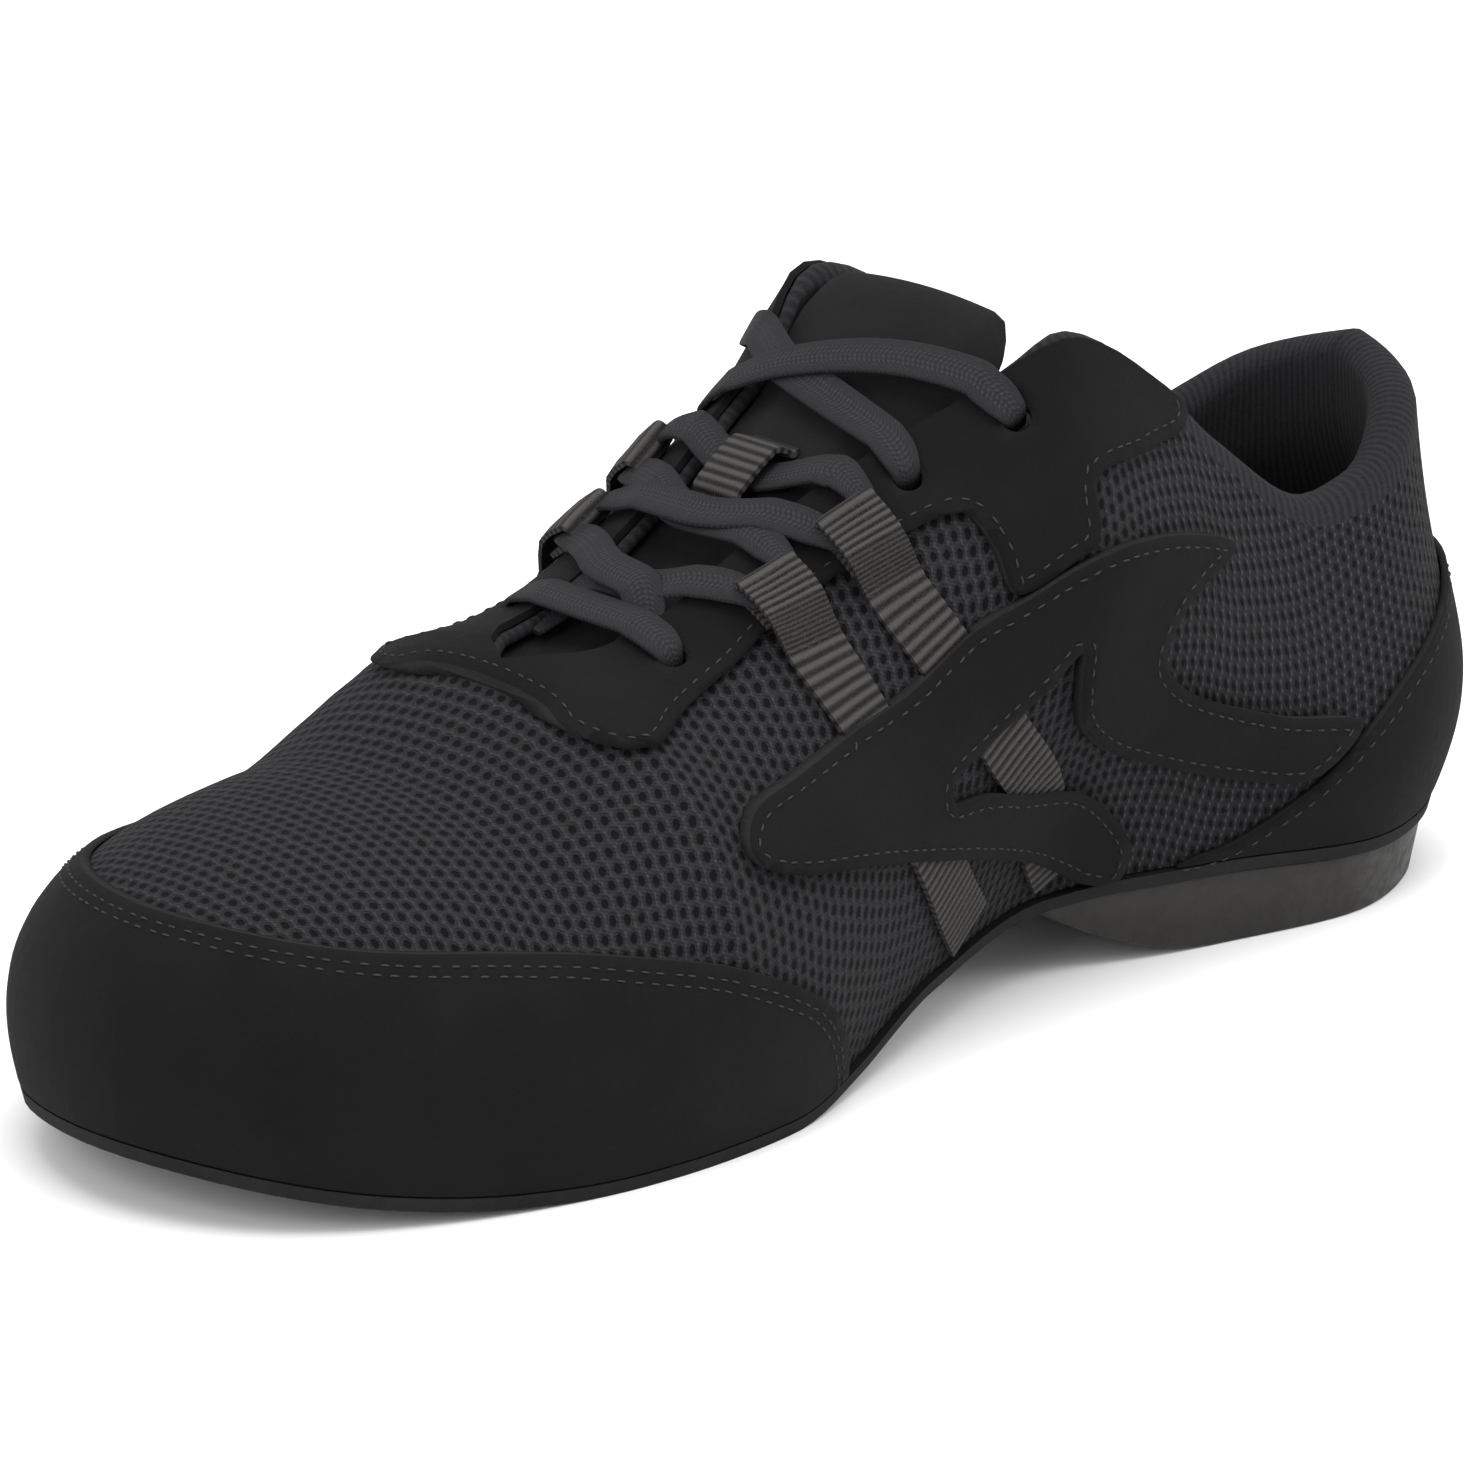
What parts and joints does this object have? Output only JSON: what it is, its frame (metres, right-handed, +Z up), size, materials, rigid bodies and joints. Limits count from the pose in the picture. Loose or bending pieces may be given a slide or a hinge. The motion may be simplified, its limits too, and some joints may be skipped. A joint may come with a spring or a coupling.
{
  "type": "dance sneaker",
  "caption": "Low lace-up dance sneaker for the left foot: perforated mesh upper, suede toe cap and overlays, padded tongue and collar, thin suede sole and low rubber heel.",
  "frame": {"origin": "on the floor, under the middle of the shoe's box", "axes": "+X from the heel to the toe, +Y to the wearer's left, which is the outer side of this left shoe, +Z up"},
  "size_m": [0.2734, 0.1048, 0.1088],
  "materials": {
    "mesh_cloth": "perforated spacer mesh, dark grey threads over black",
    "suede": "near-black suede, matt, with a short nap",
    "webbing": "ribbed grosgrain webbing, warm dark grey",
    "lace": "flat woven lace, dark grey",
    "rubber": "smooth dark brownish grey rubber",
    "sock_lining": "dark matt lining cloth"
  },
  "bodies": {
    "root": {"outsole": "suede", "heel": "rubber", "insole": "sock_lining", "upper": "mesh_cloth", "tongue": "suede", "toe_cap": "suede", "heel_counter": "suede", "eyestay": "suede", "flank_outer": "suede", "flank_inner": "suede", "webbing_front_outer": "webbing", "webbing_front_inner": "webbing", "webbing_rear_outer": "webbing", "webbing_rear_inner": "webbing", "lace_bar_front": "lace", "lace_crossing_low": "lace", "lace_crossing_middle": "lace", "lace_bar_tongue": "lace", "lace_crossing_high": "lace", "tongue_loop": "webbing"}
  },
  "joints": []
}
